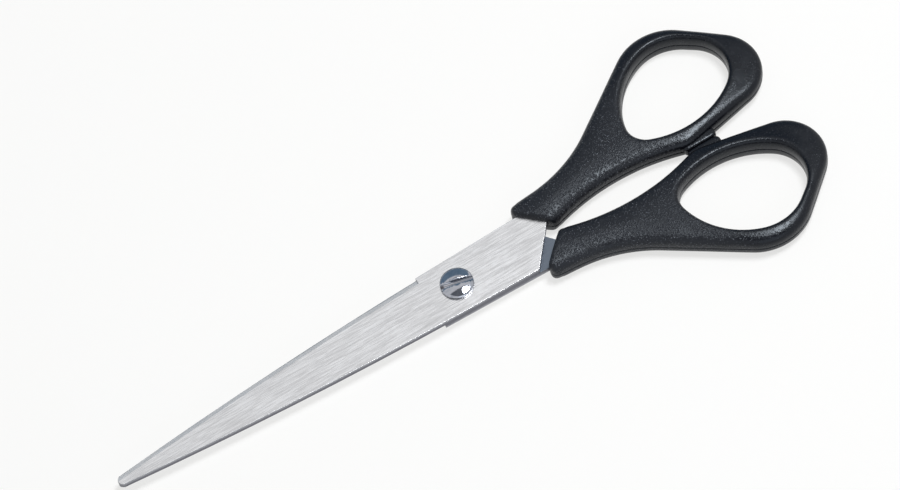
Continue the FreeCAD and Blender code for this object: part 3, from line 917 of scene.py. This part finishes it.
class Effects:
    """The shader groups that several materials share, each built once.

    A span holds the low and the high end of a smooth step, and a scale multiplies the group's own input.
    """

    BRUSH_STRETCH = 0.05
    BRUSH_ROUGHNESS = 0.6
    BAND_SCALE = 0.16
    SCRATCH_SPAN = (0.62, 0.8)
    CELL_SPAN = (0.75, 0.0)
    BREAKUP_SCALE = 1.7
    BREAKUP_SPAN = (0.3, 0.7)
    SPECK_SPAN = (0.42, 0.8)
    CLOUD_SPAN = (0.35, 0.65)
    FINGER_SCALE = 5.0
    FINGER_SPAN = (0.25, 0.75)

    def __init__(self) -> None:
        """Build them all."""
        self.brushing = self.build_brushing()
        self.pitting = self.build_pitting()
        self.smudges = self.build_smudges()

    def build_brushing(self) -> bpy.types.NodeTree:
        """Fine straight scratches along X.

        Two stretched noises, one a hair wide and one of broader bands, mixed by Breadth. Streak is the
        mix, and Scratch picks out the few deepest lines.
        """
        group, nodes, given, result = new_group("brushing", {"Fineness": 3600.0, "Breadth": 0.12},
                                                ["Streak", "Scratch"])
        stretched = nodes.add("Mapping", Vector=given.outputs["Vector"],
                              Scale=(self.BRUSH_STRETCH, 1.0, 1.0))
        fine = nodes.add("TexNoise", Vector=stretched.outputs[0], Scale=given.outputs["Fineness"],
                         Detail=3.0, Roughness=self.BRUSH_ROUGHNESS)
        broad_scale = nodes.math("MULTIPLY", given.outputs["Fineness"], self.BAND_SCALE)
        broad = nodes.add("TexNoise", Vector=stretched.outputs[0], Scale=broad_scale, Detail=2.0)
        mixed = nodes.add("Mix", Factor=given.outputs["Breadth"])
        nodes.feed(mixed.inputs[2], fine.outputs["Fac"])
        nodes.feed(mixed.inputs[3], broad.outputs["Fac"])
        nodes.feed(result.inputs["Streak"], mixed.outputs[0])
        nodes.feed(result.inputs["Scratch"], nodes.spread(fine.outputs["Fac"], *self.SCRATCH_SPAN))
        return group

    def build_pitting(self) -> bpy.types.NodeTree:
        """The grain of a spark-eroded mould.

        Rounded cells half a millimetre across, broken up by finer noise. Height is the grain, and
        Speck is one on the tops of its largest grains.
        """
        group, nodes, given, result = new_group("pitting", {"Grain": 1900.0}, ["Height", "Speck"])
        cells = nodes.add("TexVoronoi", Vector=given.outputs["Vector"], Scale=given.outputs["Grain"])
        finer = nodes.math("MULTIPLY", given.outputs["Grain"], self.BREAKUP_SCALE)
        rough = nodes.add("TexNoise", Vector=given.outputs["Vector"], Scale=finer, Detail=2.0)
        dome = nodes.spread(cells.outputs["Distance"], *self.CELL_SPAN)
        height = nodes.math("MULTIPLY", dome, nodes.spread(rough.outputs["Fac"], *self.BREAKUP_SPAN))
        nodes.feed(result.inputs["Height"], height)
        nodes.feed(result.inputs["Speck"], nodes.spread(height, *self.SPECK_SPAN))
        return group

    def build_smudges(self) -> bpy.types.NodeTree:
        """Soft cloudy patches of handling: two sizes of noise multiplied, stretched to nought and one."""
        group, nodes, given, result = new_group("smudges", {"Size": 0.012}, ["Patch"])
        scale = nodes.math("DIVIDE", 1.0, given.outputs["Size"])
        finger = nodes.math("MULTIPLY", scale, self.FINGER_SCALE)
        large = nodes.add("TexNoise", Vector=given.outputs["Vector"], Scale=scale, Detail=2.0)
        small = nodes.add("TexNoise", Vector=given.outputs["Vector"], Scale=finger, Detail=4.0)
        patch = nodes.math("MULTIPLY", nodes.spread(large.outputs["Fac"], *self.CLOUD_SPAN),
                           nodes.spread(small.outputs["Fac"], *self.FINGER_SPAN))
        nodes.feed(result.inputs["Patch"], patch)
        return group


# ---------------------------------------------------------------- finishes

Colour = tuple[float, float, float, float]


def new_material(name: str) -> tuple[bpy.types.Material, Nodes, bpy.types.Node, bpy.types.NodeSocket]:
    """A material with a Principled shader.

    Args:
        name: the material's name.

    Returns:
        The material, a helper for its tree, the shader and the object coordinates.
    """
    material = bpy.data.materials.new(name)
    material.use_nodes = True
    nodes = Nodes(material.node_tree)
    shader = material.node_tree.nodes["Principled BSDF"]
    place = nodes.add("TexCoord").outputs["Object"]
    return material, nodes, shader, place


def upward(nodes: Nodes) -> bpy.types.NodeSocket:
    """How far a surface faces up: the Z part of its own normal, before any relief."""
    return nodes.add("SeparateXYZ", Vector=nodes.add("TexCoord").outputs["Normal"]).outputs["Z"]


@dataclass(frozen=True)
class BrushedSteel:
    """Stainless plate, ground along the blade: dull light grey with hair-fine streaks, and painted shade on
    its inner faces and its sheared edges.

    Spans in millimetres are heights from the plane where the blades meet, or places behind the pivot.
    """

    effects: Effects
    light: Colour = (0.68, 0.68, 0.69, 1.0)
    dark: Colour = (0.50, 0.50, 0.51, 1.0)
    # Painted shade on the steep side walls, over the real split into a burnished band and a torn one.
    burnished: Colour = (0.25, 0.255, 0.28, 1.0)
    sheared: Colour = (0.12, 0.122, 0.145, 1.0)
    # Painted shade between the blades: the colour of the inner faces.
    inner_face_shade: Colour = (0.058, 0.076, 0.102, 1.0)
    streak_span: tuple[float, float] = (0.3, 0.7)
    smudge_size: float = 0.009
    smudge_share: float = 0.16
    inner_face_shade_share: float = 0.92
    edge_shade_share: float = 0.95
    roughness: float = 0.24
    gloss_span: tuple[float, float] = (0.25, 0.75)
    smoother: float = 0.03
    rougher: float = 0.05
    smudge_roughness: float = 0.06
    dull_roughness: float = 0.42
    inner_front_share: float = 0.85
    burnish_from: float = 1.0
    burnish_blur: float = 0.08
    burnish_wander: float = 0.5
    wander_scale: float = 700.0
    steep_span: tuple[float, float] = (0.35, 0.75)
    inner_span: tuple[float, float] = (0.03, 0.09)
    tang_span: tuple[float, float] = (10.0, 13.0)
    scratch_share: float = 0.6
    depth: float = 0.012
    relief_strength: float = 0.12

    def material(self, name: str) -> bpy.types.Material:
        """Build the material: streaks set the colour, the roughness and a shallow relief, and painted shade
        darkens the inner faces and the sheared edges.

        Args:
            name: the material's name.

        Returns:
            The material.
        """
        material, nodes, shader, place = new_material(name)
        brushed = nodes.add("Group", {"node_tree": self.effects.brushing}, Vector=place)
        handled = nodes.add("Group", {"node_tree": self.effects.smudges}, Vector=place,
                            Size=self.smudge_size)
        streak = brushed.outputs["Streak"]
        scratch = brushed.outputs["Scratch"]
        patch = handled.outputs["Patch"]
        edge, inner = self.dull_and_shaded_places(nodes, place)
        tone = nodes.blend("MIX", nodes.spread(streak, *self.streak_span), self.dark, self.light)
        tone = nodes.blend("MIX", nodes.math("MULTIPLY", patch, self.smudge_share), tone, self.dark)
        # Painted shade between the blades: the inner faces darken, most behind the pivot.
        tone = nodes.blend("MIX", nodes.math("MULTIPLY", inner, self.inner_face_shade_share), tone, self.inner_face_shade)
        shaded_edge_tone = self.shaded_edge_tone(nodes, place)
        # Painted shade on the sheared edges, over their real burnished and torn bands.
        tone = nodes.blend("MIX", nodes.math("MULTIPLY", edge, self.edge_shade_share), tone, shaded_edge_tone)
        nodes.feed(shader.inputs["Base Color"], tone)
        shader.inputs["Metallic"].default_value = 1.0
        rough = nodes.spread(streak, *self.gloss_span, self.roughness - self.smoother,
                             self.roughness + self.rougher)
        rough = nodes.math("ADD", rough, nodes.math("MULTIPLY", patch, self.smudge_roughness))
        dull = nodes.math("MULTIPLY", nodes.math("MAXIMUM", edge, inner), self.dull_roughness)
        nodes.feed(shader.inputs["Roughness"], nodes.math("MAXIMUM", rough, dull))
        relief = nodes.math("SUBTRACT", streak, nodes.math("MULTIPLY", scratch, self.scratch_share))
        bump = nodes.add("Bump", Strength=self.relief_strength, Distance=self.depth * MM, Height=relief)
        nodes.feed(shader.inputs["Normal"], bump.outputs[0])
        return material

    def shaded_edge_tone(self, nodes: Nodes, place: bpy.types.NodeSocket) -> bpy.types.NodeSocket:
        """Colour of the sheared edges, darkened with painted shade: a burnished band by the outer face over a
        darker torn one.

        Args:
            nodes: the material's tree.
            place: its object coordinates.

        Returns:
            The colour.
        """
        split = nodes.add("SeparateXYZ", Vector=place)
        wander = nodes.add("TexNoise", Vector=place, Scale=self.wander_scale, Detail=2.0)
        centred = nodes.math("SUBTRACT", wander.outputs["Fac"], 0.5)
        shift = nodes.math("MULTIPLY", centred, self.burnish_wander * MM)
        height = nodes.math("ADD", nodes.math("ABSOLUTE", split.outputs["Z"]), shift)
        band = nodes.spread(height, (self.burnish_from - self.burnish_blur) * MM,
                            (self.burnish_from + self.burnish_blur) * MM)
        return nodes.blend("MIX", band, self.sheared, self.burnished)

    def dull_and_shaded_places(self, nodes: Nodes,
                    place: bpy.types.NodeSocket) -> tuple[bpy.types.NodeSocket, bpy.types.NodeSocket]:
        """Masks of the duller surfaces, which painted shade also darkens: the sheared edges and the inner
        faces where the blades meet.

        Args:
            nodes: the material's tree.
            place: its object coordinates.

        Returns:
            One for the sheared edges, where the surface is steep, and one for the inner faces, which is
            strongest behind the pivot.
        """
        steep = nodes.spread(nodes.math("ABSOLUTE", upward(nodes)), *self.steep_span, 1.0, 0.0)
        split = nodes.add("SeparateXYZ", Vector=place)
        low, high = self.inner_span
        inner = nodes.spread(nodes.math("ABSOLUTE", split.outputs["Z"]), low * MM, high * MM, 1.0, 0.0)
        front, back = self.tang_span
        behind = nodes.spread(split.outputs["X"], front * MM, back * MM)
        return steep, nodes.math("MULTIPLY", inner, nodes.spread(behind, 0.0, 1.0, self.inner_front_share, 1.0))


@dataclass(frozen=True)
class PolishedNickel:
    """Bright plated steel with faint turning marks round the pivot axis, a little handling haze and painted
    shade on its level faces.
    """

    effects: Effects
    light: Colour = (0.40, 0.41, 0.45, 1.0)
    haze: Colour = (0.22, 0.25, 0.30, 1.0)
    # Painted shade for the level faces, such as the floor of the screw's slot.
    level_face_shade: Colour = (0.035, 0.035, 0.040, 1.0)
    smudge_size: float = 0.0035
    haze_share: float = 0.7
    level_shade_share: float = 0.85
    level_span: tuple[float, float] = (0.9985, 0.9995)
    roughness: float = 0.06
    haze_roughness: float = 0.12
    ring_scale: float = 900.0
    ring_distortion: float = 0.6
    ring_depth: float = 0.004
    relief_strength: float = 0.2

    def material(self, name: str) -> bpy.types.Material:
        """Build the material: rings set a fine relief, smudges the haze, and level places are darkened with
        painted shade.

        The level places are the floor of the screw's slot and other flat faces that look up.

        Args:
            name: the material's name.

        Returns:
            The material.
        """
        material, nodes, shader, place = new_material(name)
        handled = nodes.add("Group", {"node_tree": self.effects.smudges}, Vector=place,
                            Size=self.smudge_size)
        rings = nodes.add("TexWave", {"wave_type": "RINGS", "rings_direction": "Z"}, Vector=place,
                          Scale=self.ring_scale, Distortion=self.ring_distortion, Detail=2.0)
        patch = handled.outputs["Patch"]
        tone = nodes.blend("MIX", nodes.math("MULTIPLY", patch, self.haze_share), self.light, self.haze)
        level = nodes.math("MULTIPLY", nodes.spread(upward(nodes), *self.level_span), self.level_shade_share)
        # Painted shade: the level faces, such as the floor of the screw's slot, are near black.
        nodes.feed(shader.inputs["Base Color"], nodes.blend("MIX", level, tone, self.level_face_shade))
        shader.inputs["Metallic"].default_value = 1.0
        rough = nodes.spread(patch, 0.0, 1.0, self.roughness, self.roughness + self.haze_roughness)
        nodes.feed(shader.inputs["Roughness"], rough)
        bump = nodes.add("Bump", Strength=self.relief_strength, Distance=self.ring_depth * MM,
                         Height=rings.outputs["Fac"])
        nodes.feed(shader.inputs["Normal"], bump.outputs[0])
        return material


@dataclass(frozen=True)
class MouldedPlastic:
    """Black moulded plastic: spark-eroded grain on the shank that fades to a satin loop, with painted glints
    on its largest grains.
    """

    effects: Effects
    side: Side
    base: Colour = (0.0032, 0.0035, 0.0058, 1.0)
    worn: Colour = (0.0060, 0.0062, 0.0085, 1.0)
    grained: Colour = (0.014, 0.0145, 0.018, 1.0)
    # Painted highlight: light grey glints on the grain tops.
    glint_speck: Colour = (0.15, 0.16, 0.185, 1.0)
    sheen: Colour = (0.84, 0.92, 1.0, 1.0)
    reflection: float = 0.27
    worn_share: float = 0.5
    grained_share: float = 0.6
    glint_share: float = 0.8
    roughness: float = 0.31
    loop_roughness: float = 0.25
    worn_roughness: float = 0.12
    speck_gloss: float = 0.12
    loop_grain: float = 0.22
    grain_depth: float = 0.24
    relief_strength: float = 0.55
    grain_until: tuple[float, float] = (0.058, 0.078)

    def material(self) -> bpy.types.Material:
        """Build the material: grain by distance from the pivot, painted glints on the grain tops, and smudges
        in colour and gloss.

        Returns:
            The material.
        """
        material, nodes, shader, place = new_material(f"{self.side.value}_grip_plastic")
        grain = nodes.add("Group", {"node_tree": self.effects.pitting}, Vector=place)
        handled = nodes.add("Group", {"node_tree": self.effects.smudges}, Vector=place)
        split = nodes.add("SeparateXYZ", Vector=place)
        patch = handled.outputs["Patch"]
        keep = nodes.spread(split.outputs["X"], *self.grain_until, 1.0, self.loop_grain)
        glint_speck = nodes.math("MULTIPLY", grain.outputs["Speck"], keep)
        matt = nodes.spread(keep, self.loop_grain, 1.0, 0.0, self.grained_share)
        tone = nodes.blend("MIX", nodes.math("MULTIPLY", patch, self.worn_share), self.base, self.worn)
        tone = nodes.blend("MIX", matt, tone, self.grained)
        # Painted highlight: the tops of the largest grains are coloured light grey as glints.
        tone = nodes.blend("MIX", nodes.math("MULTIPLY", glint_speck, self.glint_share), tone, self.glint_speck)
        nodes.feed(shader.inputs["Base Color"], tone)
        rough = nodes.spread(keep, self.loop_grain, 1.0, self.loop_roughness, self.roughness)
        rough = nodes.math("ADD", rough, nodes.math("MULTIPLY", patch, self.worn_roughness))
        rough = nodes.math("SUBTRACT", rough, nodes.math("MULTIPLY", glint_speck, self.speck_gloss))
        nodes.feed(shader.inputs["Roughness"], rough)
        shader.inputs["Specular IOR Level"].default_value = self.reflection
        shader.inputs["Specular Tint"].default_value = self.sheen
        height = nodes.math("MULTIPLY", grain.outputs["Height"], keep)
        bump = nodes.add("Bump", Strength=self.relief_strength, Distance=self.grain_depth * MM,
                         Height=height)
        nodes.feed(shader.inputs["Normal"], bump.outputs[0])
        return material


# ---------------------------------------------------------------- stage

def seen_or_mirrored(nodes: Nodes) -> bpy.types.NodeSocket:
    """One for rays from the camera, through glass or off a glossy surface, and nought for the rest.

    Args:
        nodes: the tree of a material or the world.

    Returns:
        The mask.
    """
    path = nodes.add("LightPath")
    seen = nodes.math("MAXIMUM", path.outputs["Is Camera Ray"], path.outputs["Is Transmission Ray"])
    return nodes.math("MAXIMUM", seen, path.outputs["Is Glossy Ray"])


def set_surface(material: bpy.types.Material, nodes: Nodes, shader: bpy.types.Node) -> None:
    """Make a shader node the material's surface."""
    nodes.feed(material.node_tree.nodes["Material Output"].inputs["Surface"], shader.outputs[0])


@dataclass(frozen=True)
class Lamp:
    """One round soft lamp that faces the origin: its place and width in metres and its power in watts."""

    name: str
    place: tuple[float, float, float]
    width: float
    power: float
    colour: tuple[float, float, float]

    def hang(self) -> None:
        """Add the lamp to the scene."""
        data = bpy.data.lights.new(self.name, "AREA")
        data.shape = "DISK"
        data.size = self.width
        data.energy = self.power
        data.color = self.colour
        lamp = bpy.data.objects.new(self.name, data)
        facing = Vector(self.place).to_track_quat("Z", "Y").to_matrix().to_4x4()
        lamp.matrix_world = Matrix.Translation(self.place) @ facing
        bpy.context.scene.collection.objects.link(lamp)


@dataclass(frozen=True)
class ReflectedCard:
    """A cloudy glowing card that shows in reflections only: the camera's own rays pass through it."""

    name: str
    dark: Colour
    light: Colour
    cloud_scale: float = 6.0

    def stand(self, grid: np.ndarray) -> None:
        """Build the card and put it on the stage.

        Args:
            grid: its points in metres, by row and column.
        """
        card = mesh_from_grids(self.name, [grid])
        material, nodes, _, place = new_material(self.name)
        clouds = nodes.add("TexNoise", Vector=place, Scale=self.cloud_scale, Detail=2.0)
        shade = nodes.blend("MIX", clouds.outputs["Fac"], self.dark, self.light)
        set_surface(material, nodes, nodes.add("Emission", Color=shade, Strength=1.0))
        card.data.materials.append(material)
        card.visible_camera = False
        card.visible_shadow = False
        card.visible_diffuse = False


@dataclass
class Studio:
    """A pale table, a white surround, two soft lamps, two cards for reflections and the camera.

    The aim is in millimetres, the angles are in degrees and all other lengths are in metres.
    """

    elevation: float = 60.0
    azimuth: float = -17.21
    roll: float = 15.0
    distance: float = 1.2154
    lens: float = 180.0
    sensor: float = 36.0
    aim: tuple[float, float] = (4.78, 12.46)
    white: Colour = (1.0, 1.0, 1.0, 1.0)
    fill_level: float = 0.2
    lamps: tuple[Lamp, ...] = (
        Lamp("key_lamp", (0.33, -0.04, 1.05), 0.36, 9.6, (0.98, 0.99, 1.0)),
        Lamp("fill_lamp", (-0.1, -1.0, 0.55), 0.9, 1.3, (0.75, 0.87, 1.0)),
    )
    table_rings: tuple[float, ...] = (0.0, 0.5, 1.5, 6.0)
    table_columns: int = 129
    table_roughness: float = 0.9
    table_grain: float = 400.0
    table_dark: Colour = (0.95, 0.95, 0.95, 1.0)
    table_light: Colour = (0.97, 0.97, 0.97, 1.0)
    table_glow: Colour = (1.0, 0.998, 0.985, 1.0)
    glow_share: float = 0.7
    card: ReflectedCard = ReflectedCard("card", (0.14, 0.24, 0.34, 1.0), (0.30, 0.40, 0.50, 1.0))
    card_distance: float = 1.0
    card_height: float = 1.0
    card_span: tuple[float, float] = (40.0, 150.0)
    card_columns: int = 33
    card_rows: int = 9
    canopy: ReflectedCard = ReflectedCard("canopy", (0.13, 0.14, 0.16, 1.0), (0.30, 0.31, 0.33, 1.0))
    canopy_level: float = 1.25
    canopy_x: tuple[float, float] = (-0.5, 0.6)
    canopy_y: tuple[float, float] = (-0.95, 0.22)

    def build_camera(self) -> None:
        """Aim the camera at the shears: a long lens from above the lower grip's side, rolled a little."""
        turn = math.radians(-self.azimuth)
        rise = math.radians(self.elevation)
        roll = math.radians(self.roll)
        back = Vector((-math.sin(turn) * math.cos(rise), -math.cos(turn) * math.cos(rise), math.sin(rise)))
        level = Vector((math.cos(turn), -math.sin(turn), 0.0))
        above = back.cross(level)
        right = level * math.cos(roll) - above * math.sin(roll)
        up = level * math.sin(roll) + above * math.cos(roll)
        data = bpy.data.cameras.new("camera")
        data.lens = self.lens
        data.sensor_width = self.sensor
        camera = bpy.data.objects.new("camera", data)
        spot = Vector((self.aim[0] * MM, self.aim[1] * MM, 0.0)) + back * self.distance
        camera.matrix_world = Matrix.Translation(spot) @ Matrix((right, up, back)).transposed().to_4x4()
        bpy.context.scene.collection.objects.link(camera)
        bpy.context.scene.camera = camera

    def build_world(self) -> None:
        """Light the shears evenly from a white surround, seen at full strength by camera and gloss."""
        world = bpy.data.worlds.new("surround")
        world.use_nodes = True
        bpy.context.scene.world = world
        nodes = Nodes(world.node_tree)
        strength = nodes.spread(seen_or_mirrored(nodes), 0.0, 1.0, self.fill_level, 1.0)
        background = world.node_tree.nodes["Background"]
        background.inputs["Color"].default_value = self.white
        nodes.feed(background.inputs["Strength"], strength)

    def build_floor(self) -> None:
        """Lay a wide round white table under the lowest point of the shears.

        It is partly its own colour, which takes the shadow, and partly a plain white of its own.
        """
        around = np.linspace(0.0, math.tau, self.table_columns)[None, :]
        reach = np.array(self.table_rings)[:, None]
        level = np.full((len(self.table_rings), self.table_columns), CAD_BOX[0].z)
        grid = np.stack([reach * np.cos(around), reach * np.sin(around), level], axis=-1)
        floor = mesh_from_grids("floor", [grid])
        if floor.data.polygons[0].normal.z < 0:
            floor.data.flip_normals()
        material, nodes, shader, place = new_material("white_table")
        shader.inputs["Roughness"].default_value = self.table_roughness
        grain = nodes.add("TexNoise", Vector=place, Scale=self.table_grain, Detail=2.0)
        tone = nodes.blend("MIX", grain.outputs["Fac"], self.table_dark, self.table_light)
        nodes.feed(shader.inputs["Base Color"], tone)
        glow = nodes.add("Emission", Color=self.table_glow, Strength=1.0)
        share = nodes.math("MULTIPLY", seen_or_mirrored(nodes), self.glow_share)
        mixed = nodes.add("MixShader", Fac=share)
        nodes.feed(mixed.inputs[1], shader.outputs[0])
        nodes.feed(mixed.inputs[2], glow.outputs[0])
        set_surface(material, nodes, mixed)
        floor.data.materials.append(material)

    def build_card(self) -> None:
        """Stand a blue-grey card behind the loops, for the polished screw and the slanted sides to reflect.

        The card is upright and bent about the pivot axis.
        """
        start, stop = (math.radians(angle) for angle in self.card_span)
        around = np.linspace(start, stop, self.card_columns)[None, :]
        height = np.linspace(0.0, self.card_height, self.card_rows)[:, None] + CAD_BOX[0].z
        ahead = self.card_distance * np.cos(around)
        aside = self.card_distance * np.sin(around)
        self.card.stand(np.stack(np.broadcast_arrays(ahead, aside, height), axis=-1))

    def build_canopy(self) -> None:
        """Hang a level grey canopy above the lamp, for the polished screw's near half to reflect."""
        across = np.linspace(*self.canopy_x, self.card_rows)[None, :]
        deep = np.linspace(*self.canopy_y, self.card_rows)[:, None]
        self.canopy.stand(np.stack(np.broadcast_arrays(across, deep, self.canopy_level), axis=-1))

    def build(self) -> None:
        """Build the whole stage and fix how colours are shown."""
        bpy.context.scene.view_settings.view_transform = "Standard"
        self.build_camera()
        self.build_world()
        for lamp in self.lamps:
            lamp.hang()
        self.build_floor()
        self.build_card()
        self.build_canopy()


def metal_parts(effects: Effects) -> list[SoftenedPart]:
    """The blades, the screw, the washer and the nut, the last three fixed to the lower half.

    Args:
        effects: the shared shader groups.

    Returns:
        The parts, ready to build.
    """
    steel = BrushedSteel(effects).material("brushed_steel")
    nickel = PolishedNickel(effects).material("polished_nickel")
    lower = Side.LOWER.body
    blades = [SoftenedPart(f"{side.value}_blade", side.body, Slot.BLADE, f"{side.value}_blade_plate",
                           rounding=0.12, material=steel, rolled=0.5, corner_angle=11.0) for side in Side]
    return blades + [
        SoftenedPart("pivot_screw", lower, Slot.SCREW, "domed_screw", rounding=0.09, material=nickel),
        SoftenedPart("spring_washer", lower, Slot.SCREW, "cone_washer", rounding=0.05, material=nickel),
        SoftenedPart("pivot_nut", lower, Slot.SCREW, "hexagon_nut", rounding=0.15, material=nickel),
    ]


def main() -> None:
    """Build the stage and every piece, and report each one."""
    logging.basicConfig(level=logging.INFO, format="%(name)s: %(message)s")
    Studio().build()
    effects = Effects()
    grips = [Grip(side, MouldedPlastic(effects, side)) for side in Side]
    for part in grips + metal_parts(effects):
        piece = part.build()
        log.info("%s: %d points, %d faces", piece.name, len(piece.data.vertices), len(piece.data.polygons))


if __name__ == "__main__":
    main()
